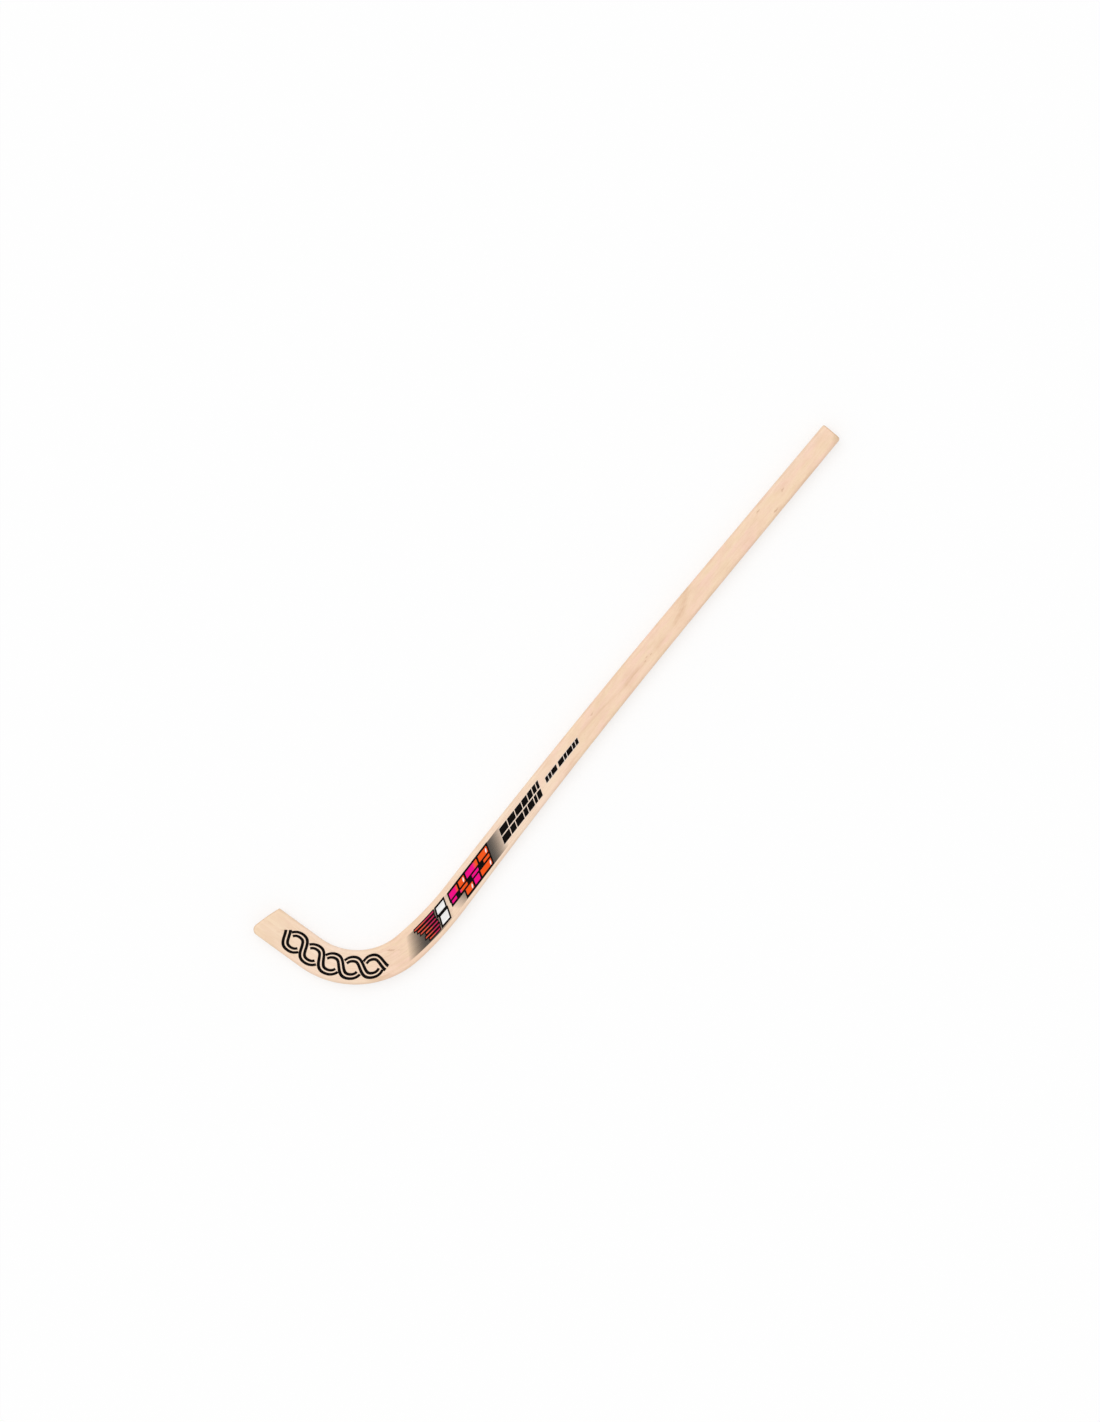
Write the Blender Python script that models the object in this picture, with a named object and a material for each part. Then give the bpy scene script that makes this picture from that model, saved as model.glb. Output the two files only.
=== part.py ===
"""Roller hockey stick, lying flat with its printed face up.

The solid beech blank is handle, shaft and blade in one, with saw kerfs from the toe through the bend.
A glued lamina fills each kerf, and printed transfers lie on the upper face.
+X runs along the handle to the butt, +Y towards the toe and +Z up. Lengths are in metres.

A place on the stick is given by s, the distance along the centreline from the butt, u, the distance
across the face towards the outer edge of the bend, and z, the height above the lower face.
"""
import math
from collections import namedtuple

import bmesh
import bpy

# Centreline of the blank, from the butt to the toe
HANDLE_LENGTH = 0.277
BOW_LENGTH = 0.484
BOW_TURN = math.radians(2.4)
LEAD_LENGTH = 0.089
LEAD_TURN = math.radians(11.4)
BEND_RADIUS = 0.0995
BEND_TURN = math.radians(77.3)
BLADE_LENGTH = 0.073

# Section of the blank: depth across the face at each joint of the centreline, and thickness
BUTT_DEPTH = 0.0282
GRIP_DEPTH = 0.0307
BOW_DEPTH = 0.0380
LEAD_DEPTH = 0.0417
BLADE_DEPTH = 0.0444
THICKNESS = 0.020
HANDLE_EDGE_RADIUS = 0.0045
BLADE_EDGE_RADIUS = 0.0030

# Butt end, square across the handle
BUTT_INNER_RADIUS = 0.0025
BUTT_OUTER_RADIUS = 0.0040
BUTT_FACE_RADIUS = 0.0020

# Toe end, cut at a slant with a slight crown
TOE_SLANT = math.radians(18.0)
TOE_CROWN = 0.0012
TOE_INNER_RADIUS = 0.0020
TOE_OUTER_RADIUS = 0.0075
TOE_FACE_RADIUS = 0.0015

# Kerfs sawn from the toe, and the laminae glued into them
LAMINA_COUNT = 5
LAMINA_THICKNESS = 0.0020
KERF_LENGTH = 0.430
KERF_STAGGER = 0.020
GLUE_GAP = 0.0003

# Printed transfers on the upper face: start measured from the toe, length, and limits across the face
Transfer = namedtuple("Transfer", "start length inner outer slant")
TRANSFER_THICKNESS = 0.00015
TRANSFER_GAP = 0.0003
TRANSFER_SLANT = 0.62
TRANSFERS = {
    "blade_transfer": Transfer(0.029, 0.150, -0.0168, 0.0178, 0.0),
    "panel_transfer": Transfer(0.206, 0.1855, -0.0130, 0.0142, TRANSFER_SLANT),
    "bar_transfer": Transfer(0.392, 0.081, -0.0092, 0.0090, TRANSFER_SLANT),
    "tick_transfer": Transfer(0.484, 0.066, -0.0036, 0.0036, TRANSFER_SLANT),
}

# Fineness of the model, how far cutters reach past what they cut, and how far the toe's rounding starts
# outside the long edges, so that the cut crosses them
HANDLE_STEPS = 4
BOW_STEPS = 12
LEAD_STEPS = 6
BEND_STEPS = 26
BLADE_STEPS = 4
CORNER_STEPS = 4
END_STEPS = 4
TOE_STEPS = 6
CUTTER_REACH = 0.010
TOE_SHAVE = 0.00001
LEAST_RADIUS = 0.0001

# Finishes: colour, roughness and metallic value
BEECH = ((0.905, 0.672, 0.497), 0.42, 0.0)
LAMINA_BEECH = ((0.860, 0.630, 0.455), 0.45, 0.0)
TRANSFER_FINISHES = {
    "blade_transfer": ((0.020, 0.016, 0.014), 0.30, 0.0),
    "panel_transfer": ((0.450, 0.100, 0.150), 0.30, 0.0),
    "bar_transfer": ((0.020, 0.016, 0.014), 0.30, 0.0),
    "tick_transfer": ((0.020, 0.016, 0.014), 0.30, 0.0),
}


def stretches():
    """Each stretch of the centreline as its length, its turn (to the left is positive) and its steps."""
    return (
        (HANDLE_LENGTH, 0.0, HANDLE_STEPS),
        (BOW_LENGTH, BOW_TURN, BOW_STEPS),
        (LEAD_LENGTH, -LEAD_TURN, LEAD_STEPS),
        (BEND_RADIUS * BEND_TURN, -BEND_TURN, BEND_STEPS),
        (BLADE_LENGTH, 0.0, BLADE_STEPS),
    )


def path_length():
    """Length of the centreline from the butt to the toe."""
    return sum(length for length, _, _ in stretches())


def advance(x, y, heading, curvature, distance):
    """Point and heading after a distance along an arc, or along a line where the curvature is 0."""
    if curvature == 0.0:
        return x + distance * math.cos(heading), y + distance * math.sin(heading), heading
    turned = heading + curvature * distance
    x += (math.sin(turned) - math.sin(heading)) / curvature
    y -= (math.cos(turned) - math.cos(heading)) / curvature
    return x, y, turned


def place(s, u, z):
    """Point of the model at distance s along the stick, u across it and height z."""
    x, y, heading = 0.0, 0.0, math.pi
    left = s
    for length, turn, _ in stretches():
        if left <= length:
            break
        x, y, heading = advance(x, y, heading, turn / length, length)
        left -= length
    else:
        turn = 0.0
    x, y, heading = advance(x, y, heading, turn / length, left)
    return x - u * math.sin(heading), y + u * math.cos(heading), z


def stations(start, end):
    """Distances from start to end at which the shape is worked out, closer together where it bends."""
    found = [start]
    begin = 0.0
    for length, _, steps in stretches():
        found += [begin + length * k / steps for k in range(steps)]
        begin += length
    found += [begin, end]
    return sorted({round(s, 7) for s in found if start <= s <= end})


def depth(s):
    """Depth of the blank at distance s, a smooth curve through the depths at the joints of the centreline.

    Between two joints it is a cubic whose slope at a joint is the harmonic mean of the slopes on both sides.
    """
    at, total = [0.0], 0.0
    for length, _, _ in stretches()[:-1]:
        total += length
        at.append(total)
    value = [BUTT_DEPTH, GRIP_DEPTH, BOW_DEPTH, LEAD_DEPTH, BLADE_DEPTH]
    if s >= at[-1]:
        return value[-1]
    chord = [(b - a) / (q - p) for a, b, p, q in zip(value, value[1:], at, at[1:])]
    slope = [chord[0]] + [harmonic_mean(a, b) for a, b in zip(chord, chord[1:])] + [0.0]
    k = max(i for i in range(len(chord)) if at[i] <= max(s, 0.0))
    span = at[k + 1] - at[k]
    t = (s - at[k]) / span
    rise = value[k] * (1 + 2 * t) * (1 - t) ** 2 + value[k + 1] * t * t * (3 - 2 * t)
    lean = span * t * (1 - t) * (slope[k] * (1 - t) - slope[k + 1] * t)
    return rise + lean


def harmonic_mean(a, b):
    """Harmonic mean of two slopes, or 0 where they don't point the same way."""
    return 2 * a * b / (a + b) if a * b > 0 else 0.0


def edge_radius(s):
    """Radius of the blank's four long edges, which falls evenly from the butt to the toe."""
    share = min(max(s / path_length(), 0.0), 1.0)
    return HANDLE_EDGE_RADIUS + (BLADE_EDGE_RADIUS - HANDLE_EDGE_RADIUS) * share


def eased(radius, distance):
    """How far a rounded end of this radius is drawn in at this distance from its tip."""
    if distance >= radius:
        return 0.0
    return radius - math.sqrt(radius ** 2 - (radius - distance) ** 2)


def quarter_depths(radius):
    """Distances from the tip at which a rounded end is worked out."""
    angles = [math.pi / 2 * k / END_STEPS for k in range(END_STEPS + 1)]
    return [radius * (1 - math.cos(angle)) for angle in angles]


def rounded_section(inner, outer, low, high, radius):
    """Rectangle from inner to outer and low to high with rounded corners, as (u, z) points in order."""
    corners = (
        (outer - radius, high - radius, 0),
        (inner + radius, high - radius, 1),
        (inner + radius, low + radius, 2),
        (outer - radius, low + radius, 3),
    )
    points = []
    for u, z, quarter in corners:
        for k in range(CORNER_STEPS + 1):
            angle = math.pi / 2 * (quarter + k / CORNER_STEPS)
            points.append((u + radius * math.cos(angle), z + radius * math.sin(angle)))
    return points


def blank_section(s):
    """Section of the blank at distance s, drawn in where the butt end is rounded."""
    half = depth(s) / 2
    inner = eased(BUTT_INNER_RADIUS, s) - half
    outer = half - eased(BUTT_OUTER_RADIUS, s)
    low = eased(BUTT_FACE_RADIUS, s)
    return rounded_section(inner, outer, low, THICKNESS - low, edge_radius(s))


def strip_section(centre, width, low, high):
    """Rectangle of a width about a line at u = centre, as (u, z) points in order."""
    near, far = centre - width / 2, centre + width / 2
    return [(far, high), (near, high), (near, low), (far, low)]


def lay_out(sections):
    """Rings of model points for a list of (s, section) pairs."""
    return [[place(s, u, z) for u, z in section] for s, section in sections]


def loft(rings):
    """Mesh of the closed solid that runs through the rings, which all have as many points."""
    bm = bmesh.new()
    loops = [[bm.verts.new(point) for point in ring] for ring in rings]
    for near, far in zip(loops, loops[1:]):
        for k in range(len(near)):
            bm.faces.new((near[k - 1], near[k], far[k], far[k - 1]))
    bm.faces.new(loops[0])
    bm.faces.new(loops[-1])
    bmesh.ops.recalc_face_normals(bm, faces=bm.faces)
    mesh = bpy.data.meshes.new("loft")
    bm.to_mesh(mesh)
    bm.free()
    mesh.shade_smooth()
    mesh.set_sharp_from_angle(angle=math.radians(30))
    return mesh


def add_object(name, mesh, parent):
    """New object of a mesh, held by the parent empty."""
    mesh.name = name
    piece = bpy.data.objects.new(name, mesh)
    piece.parent = parent
    bpy.context.collection.objects.link(piece)
    return piece


def add_finish(piece, finish):
    """Gives a piece its own material of a colour, a roughness and a metallic value."""
    colour, roughness, metallic = finish
    material = bpy.data.materials.new(piece.name)
    material.use_nodes = True
    shader = material.node_tree.nodes["Principled BSDF"]
    shader.inputs["Base Color"].default_value = (*colour, 1.0)
    shader.inputs["Roughness"].default_value = roughness
    shader.inputs["Metallic"].default_value = metallic
    piece.data.materials.append(material)


def add_cutter(name, mesh, parent):
    """Object that only cuts others, left out of the model."""
    cutter = add_object(name, mesh, parent)
    cutter.hide_render = True
    cutter.display_type = "WIRE"
    return cutter


def cut(piece, cutter):
    """Takes the cutter's shape out of a piece.

    The manifold solver is used because kerf walls meet the blank's cross lines at their ends, where the
    exact solver leaves open edges.
    """
    modifier = piece.modifiers.new(cutter.name, "BOOLEAN")
    modifier.operation = "DIFFERENCE"
    modifier.solver = "MANIFOLD"
    modifier.object = cutter


def fillet(before, corner, after, radius):
    """Points of the arc that rounds a corner between two straight sides, in (s, u)."""
    legs = []
    for end in (before, after):
        length = math.dist(end, corner)
        legs.append(((end[0] - corner[0]) / length, (end[1] - corner[1]) / length))
    (ax, ay), (bx, by) = legs
    opening = math.acos(ax * bx + ay * by)
    setback = radius / math.tan(opening / 2)
    reach = radius / math.sin(opening / 2) / math.hypot(ax + bx, ay + by)
    centre = (corner[0] + (ax + bx) * reach, corner[1] + (ay + by) * reach)
    first = (corner[0] + ax * setback, corner[1] + ay * setback)
    start = math.atan2(first[1] - centre[1], first[0] - centre[0])
    sweep = math.copysign(math.pi - opening, ay * bx - ax * by)
    steps = 2 * END_STEPS
    angles = [start + sweep * k / steps for k in range(steps + 1)]
    return [(centre[0] + radius * math.cos(a), centre[1] + radius * math.sin(a)) for a in angles]


def toe_outline(inset):
    """Outline of the toe in (s, u), from the outer edge to the inner one, drawn in by an inset.

    It is a slanted line with both corners rounded, then bowed out in the middle by a parabola.
    """
    half = BLADE_DEPTH / 2
    side = half - inset + TOE_SHAVE
    slope = math.tan(TOE_SLANT)
    tip = path_length() - inset / math.cos(TOE_SLANT)
    outer, inner = (tip + side * slope, side), (tip - side * slope, -side)
    far = tip - BLADE_LENGTH
    rounded = fillet((far, side), outer, inner, max(TOE_OUTER_RADIUS - inset, LEAST_RADIUS))
    last = fillet(outer, inner, (far, -side), max(TOE_INNER_RADIUS - inset, LEAST_RADIUS))
    (s0, u0), (s1, u1) = rounded[-1], last[0]
    shares = [k / TOE_STEPS for k in range(1, TOE_STEPS)]
    points = rounded + [(s0 + (s1 - s0) * share, u0 + (u1 - u0) * share) for share in shares] + last
    return [(s - TOE_CROWN * (u / half) ** 2, u) for s, u in points]


def toe_cutter_rings():
    """Rings of the cutter beyond the toe, one for each height, drawn in over the rounded face edges."""
    rims = quarter_depths(TOE_FACE_RADIUS)
    low = [(-CUTTER_REACH, 0.0)] + [(z, z) for z in rims]
    levels = low + [(THICKNESS - z, distance) for z, distance in reversed(low)]
    side = BLADE_DEPTH / 2 + CUTTER_REACH
    far = path_length() + BLADE_DEPTH + CUTTER_REACH
    rings = []
    for z, distance in levels:
        outline = toe_outline(eased(TOE_FACE_RADIUS, distance))
        ring = [(far, side), (outline[0][0], side)] + outline + [(outline[-1][0], -side), (far, -side)]
        rings.append([place(s, u, z) for s, u in ring])
    return rings


def kerf_line(number, s):
    """Where kerf number 1, 2, ... lies across the face, so that all the tongues are as deep."""
    return depth(s) * (number / (LAMINA_COUNT + 1) - 0.5)


def kerf_root(number):
    """Distance at which a kerf ends, every second one further from the toe."""
    return path_length() - KERF_LENGTH - KERF_STAGGER * (number % 2)


def make_kerf_cutter(number, parent):
    """Saw kerf, open at the toe and through both faces, as wide as a lamina and its glue."""
    width = LAMINA_THICKNESS + 2 * GLUE_GAP
    end = path_length() + BLADE_DEPTH
    sections = [
        (s, strip_section(kerf_line(number, s), width, -CUTTER_REACH, THICKNESS + CUTTER_REACH))
        for s in stations(kerf_root(number), end)
    ]
    return add_cutter(f"kerf_cutter_{number}", loft(lay_out(sections)), parent)


def make_blank(parent, toe_cutter):
    """Beech blank: a bent bar with rounded edges, cut to shape at the toe and sawn into tongues."""
    overrun = path_length() + BLADE_DEPTH / 2
    butt = [round(s, 7) for s in quarter_depths(BUTT_OUTER_RADIUS)]
    at = sorted(set(butt + stations(butt[-1], overrun)))
    blank = add_object("shaft_blank", loft(lay_out([(s, blank_section(s)) for s in at])), parent)
    cut(blank, toe_cutter)
    for number in range(1, LAMINA_COUNT + 1):
        cut(blank, make_kerf_cutter(number, parent))
    add_finish(blank, BEECH)


def make_lamina(number, parent, toe_cutter):
    """Thin beech strip that fills one kerf, flush with both faces and the toe."""
    overrun = path_length() + BLADE_DEPTH / 2
    sections = [
        (s, strip_section(kerf_line(number, s), LAMINA_THICKNESS, 0.0, THICKNESS))
        for s in stations(kerf_root(number) + GLUE_GAP, overrun)
    ]
    lamina = add_object(f"blade_lamina_{number}", loft(lay_out(sections)), parent)
    cut(lamina, toe_cutter)
    add_finish(lamina, LAMINA_BEECH)


def make_transfer(name, parent):
    """Printed transfer: a thin film on the upper face that follows the centreline, its ends at a slant."""
    sizes = TRANSFERS[name]
    low = THICKNESS + TRANSFER_GAP
    high = low + TRANSFER_THICKNESS
    corners = [(sizes.outer, high), (sizes.inner, high), (sizes.inner, low), (sizes.outer, low)]
    toe_end = path_length() - sizes.start
    rings = [
        [place(s + sizes.slant * u, u, z) for u, z in corners]
        for s in stations(toe_end - sizes.length, toe_end)
    ]
    add_finish(add_object(name, loft(rings), parent), TRANSFER_FINISHES[name])


def centre_on_origin(holder):
    """Moves the whole stick so that the middle of its box is over the origin."""
    depsgraph = bpy.context.evaluated_depsgraph_get()
    pieces = [piece.evaluated_get(depsgraph) for piece in holder.children if not piece.hide_render]
    for axis in (0, 1):
        values = [corner[axis] for piece in pieces for corner in piece.bound_box]
        holder.location[axis] = -(min(values) + max(values)) / 2


def main():
    for old in list(bpy.data.objects):
        bpy.data.objects.remove(old)
    holder = bpy.data.objects.new("stick", None)
    bpy.context.collection.objects.link(holder)
    toe_cutter = add_cutter("toe_cutter", loft(toe_cutter_rings()), holder)
    make_blank(holder, toe_cutter)
    for number in range(1, LAMINA_COUNT + 1):
        make_lamina(number, holder, toe_cutter)
    for name in TRANSFERS:
        make_transfer(name, holder)
    centre_on_origin(holder)


main()
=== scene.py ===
"""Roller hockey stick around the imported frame: bent beech, glued laminae, printed face and studio.

A place on the stick is given by s, the distance along the centreline from the butt, u, the distance
across the face towards the outer edge of the bend, and z, the height above the lower face.
Lengths are in metres, but materials work in millimetres of the same s, u and z.
"""

import math

import bpy
import numpy as np
from bpy.props import FloatProperty, FloatVectorProperty, PointerProperty
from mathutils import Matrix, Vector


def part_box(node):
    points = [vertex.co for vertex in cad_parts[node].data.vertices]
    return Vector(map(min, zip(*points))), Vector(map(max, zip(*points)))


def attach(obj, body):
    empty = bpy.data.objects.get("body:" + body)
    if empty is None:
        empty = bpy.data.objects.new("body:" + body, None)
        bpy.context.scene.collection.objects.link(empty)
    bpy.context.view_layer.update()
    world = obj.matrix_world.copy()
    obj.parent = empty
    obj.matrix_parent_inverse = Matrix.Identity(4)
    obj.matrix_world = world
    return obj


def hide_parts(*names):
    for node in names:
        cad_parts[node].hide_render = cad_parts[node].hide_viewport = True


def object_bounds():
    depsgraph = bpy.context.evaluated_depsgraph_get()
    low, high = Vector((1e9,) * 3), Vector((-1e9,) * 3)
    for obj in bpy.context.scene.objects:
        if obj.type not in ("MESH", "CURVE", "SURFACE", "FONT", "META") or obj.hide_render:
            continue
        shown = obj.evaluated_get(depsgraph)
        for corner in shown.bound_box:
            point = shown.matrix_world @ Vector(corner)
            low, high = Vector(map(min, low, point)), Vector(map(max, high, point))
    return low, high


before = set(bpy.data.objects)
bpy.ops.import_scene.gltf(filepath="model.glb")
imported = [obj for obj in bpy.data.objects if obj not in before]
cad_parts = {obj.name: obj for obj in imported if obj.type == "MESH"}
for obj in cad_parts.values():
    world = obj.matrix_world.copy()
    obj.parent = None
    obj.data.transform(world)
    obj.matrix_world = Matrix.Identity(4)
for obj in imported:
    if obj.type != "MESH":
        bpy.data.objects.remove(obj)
CAD_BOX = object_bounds()

bl_info = {
    "name": "Roller hockey stick",
    "version": (1, 0, 0),
    "blender": (4, 5, 0),
    "location": "3D View > Sidebar > Stick",
    "description": "Builds the stick's wood, glue lines, prints and studio around its packed frame",
    "category": "Add Mesh",
}

# Centreline from the butt to the toe: length and turn of each stretch, a turn to the left being positive
BEND_RADIUS = 0.0995
STRETCHES = (
    (0.277, 0.0),
    (0.484, math.radians(2.4)),
    (0.089, -math.radians(11.4)),
    (BEND_RADIUS * math.radians(77.3), -math.radians(77.3)),
    (0.073, 0.0),
)
JOINTS = np.cumsum([0.0] + [length for length, _ in STRETCHES])
LENGTH = float(JOINTS[-1])

# Depth across the face at the joints of the centreline, level along the last stretch
DEPTHS = (0.0282, 0.0307, 0.0380, 0.0417, 0.0444)
BLADE_DEPTH = DEPTHS[-1]

# Ends: corner radii in the face and radius of the edges around each end
BUTT_INNER_RADIUS = 0.0025
BUTT_OUTER_RADIUS = 0.0040
BUTT_FACE_RADIUS = 0.0020
TOE_SLANT = math.radians(18.0)
TOE_CROWN = 0.0012
TOE_INNER_RADIUS = 0.0020
TOE_OUTER_RADIUS = 0.0075
TOE_FACE_RADIUS = 0.0015
TOE_ZONE = 0.016
LEAST_RADIUS = 0.0001

# Points that the outline and its toe are sampled at to find the middle of their box
OUTLINE_POINTS = 4000
TOE_POINTS = 400

# Kerfs sawn from the toe, each second one 20 mm shorter
LAMINA_COUNT = 5
KERF_LENGTH = 0.430
KERF_STAGGER = 0.020
FIRST_ROOT = LENGTH - KERF_LENGTH - KERF_STAGGER

# How far the sides stay inside the frame's outline, so that finer arcs don't leave its box
TRIM = 0.00005

# Fineness of the wood's surfaces
HANDLE_STEP = 0.005
KERF_STEP = 0.003
CORNER_CELLS = 8
TONGUE_CELLS = 3
EDGE_CELLS = 4
SIDE_CELLS = 4
TOE_CELLS = 6

SMOOTH_ANGLE = math.radians(35.0)

# Wood's own map: rows that a piece is folded into, gap between neighbours, share left free all round, and how
# much the walls of the kerfs are squeezed along and up, with the width that they take
MAP_ROWS = 3
MAP_GAP = 0.0025
MAP_MARGIN = 0.005
WALL_SQUEEZE = (0.05, 0.095)
WALL_SHELF = 0.02795

# Gap between the glue and the wood beside it, shades of the laminae against each other, and steps through the
# log from one lamina's grain to the next one's, in millimetres
GLUE_SLACK = 0.00001
LAMINA_SHADES = (0.6, 1.0, 0.4, 1.2, 0.8)
GRAIN_STEP = (1700.0, 310.0, 0.0)

# Slants of the printed shapes, how deep they reach into the wood and how high each layer stands above it
SLANT = 0.62
BRAID_SLANT = 0.18
SUNK = 0.00003
UNDERLAY_LAYER = 0.00006
BLACK_LAYER = 0.00010
COLOUR_LAYER = 0.00013
WHITE_LAYER = 0.00016
LAYER_STEP = 0.000002

# Fineness of the printed shapes: about how many millimetres lie from point to point along a brick, points
# across it, and points along each wave of the braid
BRICK_STEP = 2.0
BRICK_POINTS = 5
WAVE_POINTS = 80

# Braid: how flat the crests of its waves are, and how many times the reach a strand is looked at for another
# one's crossing
CREST_FLATNESS = 1.3
CROSSING_SPAN = 2.2

# Camera of the photograph: turn about the vertical, point in the middle of its view, and height of that view
VIEW_TURN = math.radians(-50.2537)
VIEW_CENTRE = (-0.02243, -0.01766)
VIEW_HEIGHT = 1.8068
SENSOR = 36.0


# Shape of the stick

def place(s, u, z):
    """Points in the frame for places on the stick.

    The centreline adds up arcs, along each of which the heading grows evenly. The chord of an arc is the
    distance run times the sine of half the turn over half the turn, and its heading is the mean of the arc's
    first and last. The point lies u to the left of the centreline.
    """
    s, u, z = np.broadcast_arrays(np.asarray(s, float), u, z)
    x, y, heading = 0.0, 0.0, math.pi
    for number, (length, turn) in enumerate(STRETCHES):
        run = np.clip(s - JOINTS[number], 0.0, length if number < len(STRETCHES) - 1 else None)
        turned = run * (turn / length)
        chord = run * np.sinc(turned / (2 * math.pi))
        x = x + chord * np.cos(heading + turned / 2)
        y = y + chord * np.sin(heading + turned / 2)
        heading = heading + turned
    x, y = x - u * np.sin(heading), y + u * np.cos(heading)
    return np.stack([x + SHIFT[0], y + SHIFT[1], z], axis=-1)


def depth(s):
    """Depth across the face: a cubic between joints, its slope at each the harmonic mean of both chords'."""
    at, value = JOINTS[:-1], np.array(DEPTHS)
    chord = np.diff(value) / np.diff(at)
    slope = np.concatenate([chord[:1], 2 * chord[:-1] * chord[1:] / (chord[:-1] + chord[1:]), [0.0]])
    s = np.clip(s, 0.0, at[-1])
    part = np.clip(np.searchsorted(at, s, side="right") - 1, 0, len(chord) - 1)
    span = at[part + 1] - at[part]
    share = (s - at[part]) / span
    rest = 1 - share
    level = value[part] * (1 + 2 * share) * rest ** 2 + value[part + 1] * share ** 2 * (1 + 2 * rest)
    return level + span * share * rest * (slope[part] * rest - slope[part + 1] * share)


def frame_shift():
    """What moves the outline drawn from the butt so that the middle of its box is that of the frame's box."""
    s = np.linspace(0.0, LENGTH, OUTLINE_POINTS)[:, None]
    across = np.array([-0.5, 0.5])
    outline = place(s, depth(s) * across, 0.0)
    toe_u = np.linspace(-BLADE_DEPTH / 2, BLADE_DEPTH / 2, TOE_POINTS)
    toe = place(toe_reach(toe_u, CAD_THICKNESS / 2), toe_u, 0.0)
    outline = outline[s[:, 0] < LENGTH - TOE_ZONE]
    points = np.concatenate([outline.reshape(-1, 3), toe])
    middle = (points.min(axis=0) + points.max(axis=0)) / 2
    return [(CAD_BOX[0][axis] + CAD_BOX[1][axis]) / 2 - middle[axis] for axis in (0, 1)]


def eased(radius, distance):
    """How far a rounded edge of this radius is drawn in at this distance from its tip: a quarter circle."""
    left = np.clip(radius - distance, 0.0, radius)
    return radius - np.sqrt(radius ** 2 - left ** 2)


def toe_reach(u, z):
    """Distance s of the toe's end at u and height z.

    It is a slanted line, moved back near the faces where their edges are rounded. An arc rounds it into
    each side, and a parabola of u bows it.
    """
    drawn = eased(TOE_FACE_RADIUS, np.minimum(z, CAD_THICKNESS - z))
    half = BLADE_DEPTH / 2 - TRIM
    slope, lean, rise = math.tan(TOE_SLANT), math.cos(TOE_SLANT), math.sin(TOE_SLANT)
    side = half - drawn
    tip = LENGTH - TRIM - drawn / lean
    reach = tip + u * slope
    for way, full in ((1, TOE_OUTER_RADIUS), (-1, TOE_INNER_RADIUS)):
        radius = np.maximum(full - drawn, LEAST_RADIUS)
        middle = way * (side - radius)
        centre = tip + middle * slope - radius / lean
        arc = centre + np.sqrt(np.clip(radius ** 2 - (u - middle) ** 2, 0.0, None))
        beyond = way * (u - middle + radius * rise) > 0
        reach = np.where(beyond, arc, reach)
    return reach - TOE_CROWN * (u / half) ** 2


def kerf_line(number, s):
    """Middle of a kerf across the face, at an even share of the depth."""
    return depth(s) * (number / (LAMINA_COUNT + 1) - 0.5)


def kerf_root(number):
    """Distance s at which a kerf ends."""
    return LENGTH - KERF_LENGTH - KERF_STAGGER * (number % 2)


def quarter(radius, cells):
    """Distances from the tip of a rounded edge, closer together towards the tip: one minus a cosine."""
    return radius * (1 - np.cos(np.linspace(0.0, math.pi / 2, cells + 1)))


def row_shares():
    """Shares of the thickness at which rows lie, as close at both faces as the toe's rounded edges need."""
    edge = quarter(TOE_FACE_RADIUS, EDGE_CELLS) / CAD_THICKNESS
    middle = np.linspace(edge[-1], 1 - edge[-1], SIDE_CELLS + 1)
    return np.concatenate([edge[:-1], middle, 1 - edge[-2::-1]])


def run_to_toe(s, u, z, back=0.0):
    """Spreads a lattice's last stations evenly over the toe, whose end is moved back by a distance."""
    start, last = s[-TOE_CELLS - 1, 0, 0], slice(-TOE_CELLS, None)
    share = np.linspace(0.0, 1.0, TOE_CELLS + 1)[1:, None, None]
    s[last] = start + share * (toe_reach(u[last], z[last]) - back - start)


CAD_THICKNESS = float(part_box("shaft_blank")[1].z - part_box("shaft_blank")[0].z)
SHIFT = (0.0, 0.0)
SHIFT = frame_shift()


# Lattices of cells and their skins

def skin(solid):
    """Quads around the solid cells of a lattice whose points are numbered in order along s, u and z.

    Between a solid cell and an empty one lies one face. Its corners go round so that its normal leaves the
    solid, because the axes s, u and z make a right-handed set. Also gives each face's axis and direction.
    """
    sizes = [n + 1 for n in solid.shape]
    number = np.arange(np.prod(sizes)).reshape(sizes)
    padded = np.pad(solid, 1)
    quads, ways = [], []
    for axis in range(3):
        order = (axis, (axis + 1) % 3, (axis + 2) % 3)
        at, cells = number.transpose(order), padded.transpose(order)
        before, after = cells[:-1, 1:-1, 1:-1], cells[1:, 1:-1, 1:-1]
        ring = [at[:, :-1, :-1], at[:, 1:, :-1], at[:, 1:, 1:], at[:, :-1, 1:]]
        ring = np.stack(ring, axis=-1)
        out, back = ring[before & ~after], ring[after & ~before][:, ::-1]
        quads += [out, back]
        ways += [np.full(len(out), 2 * axis + 1), np.full(len(back), 2 * axis)]
    return np.concatenate(quads), np.concatenate(ways)


def along(points, axis):
    """Distance run along one axis of a lattice of (u, z) points, from its first one."""
    steps = np.linalg.norm(np.diff(points, axis=axis), axis=-1)
    return np.concatenate([np.zeros_like(steps.take([0], axis)), np.cumsum(steps, axis)], axis)


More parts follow.
